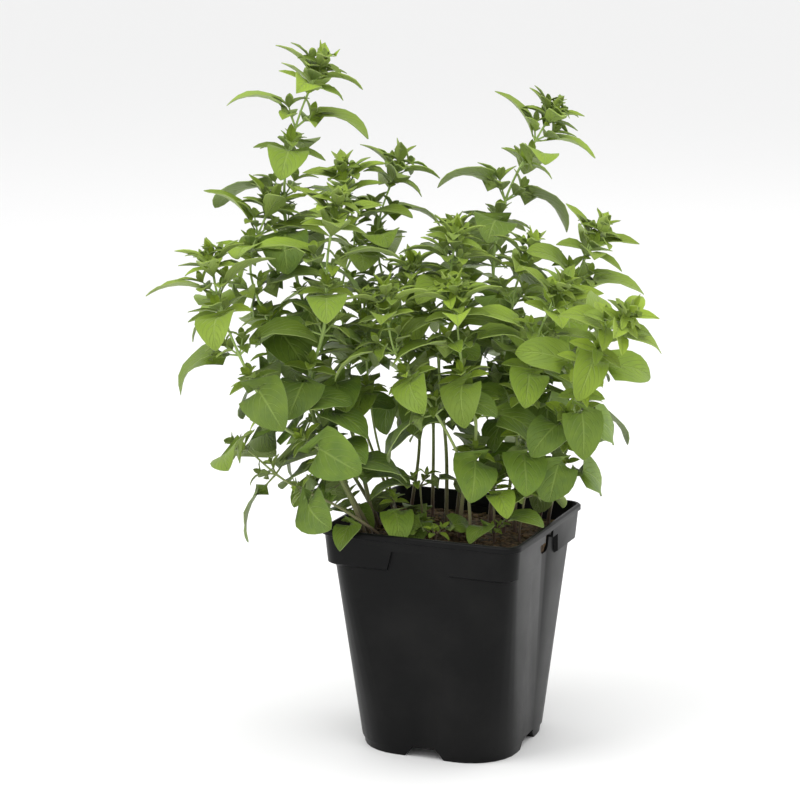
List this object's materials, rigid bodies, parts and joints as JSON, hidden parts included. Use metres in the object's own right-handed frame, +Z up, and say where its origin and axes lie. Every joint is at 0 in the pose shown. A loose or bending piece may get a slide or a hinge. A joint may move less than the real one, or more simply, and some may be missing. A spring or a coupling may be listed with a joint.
{
  "type": "potted oregano",
  "caption": "Young oregano plant with upright leafy shoots in potting mix, in a square plastic nursery pot with a stepped collar and corner feet.",
  "frame": {"origin": "on the ground under the middle of the pot, which is also the middle of the plant's outline seen from above", "axes": "+Z up along the plant; +X out of the pot's face with the label slot; +Y away from the front face"},
  "size_m": [0.251, 0.2448, 0.3718],
  "materials": {
    "pot_plastic": "satin",
    "potting_mix": "matte",
    "foliage": "matte",
    "stem": "matte"
  },
  "bodies": {
    "root": {"pot": "pot_plastic", "soil": "potting_mix", "shoot_01": "foliage", "shoot_02": "foliage", "shoot_03": "foliage", "shoot_04": "foliage", "shoot_05": "foliage", "shoot_06": "foliage", "shoot_07": "foliage", "shoot_08": "foliage", "shoot_09": "foliage", "shoot_10": "foliage", "shoot_11": "foliage", "shoot_12": "foliage", "shoot_13": "foliage", "shoot_14": "foliage", "shoot_15": "foliage", "shoot_16": "foliage", "shoot_17": "foliage", "shoot_18": "foliage", "shoot_19": "foliage", "shoot_20": "foliage", "shoot_21": "foliage", "shoot_22": "foliage", "shoot_23": "foliage", "shoot_24": "foliage", "shoot_25": "foliage", "shoot_26": "foliage"}
  },
  "joints": []
}
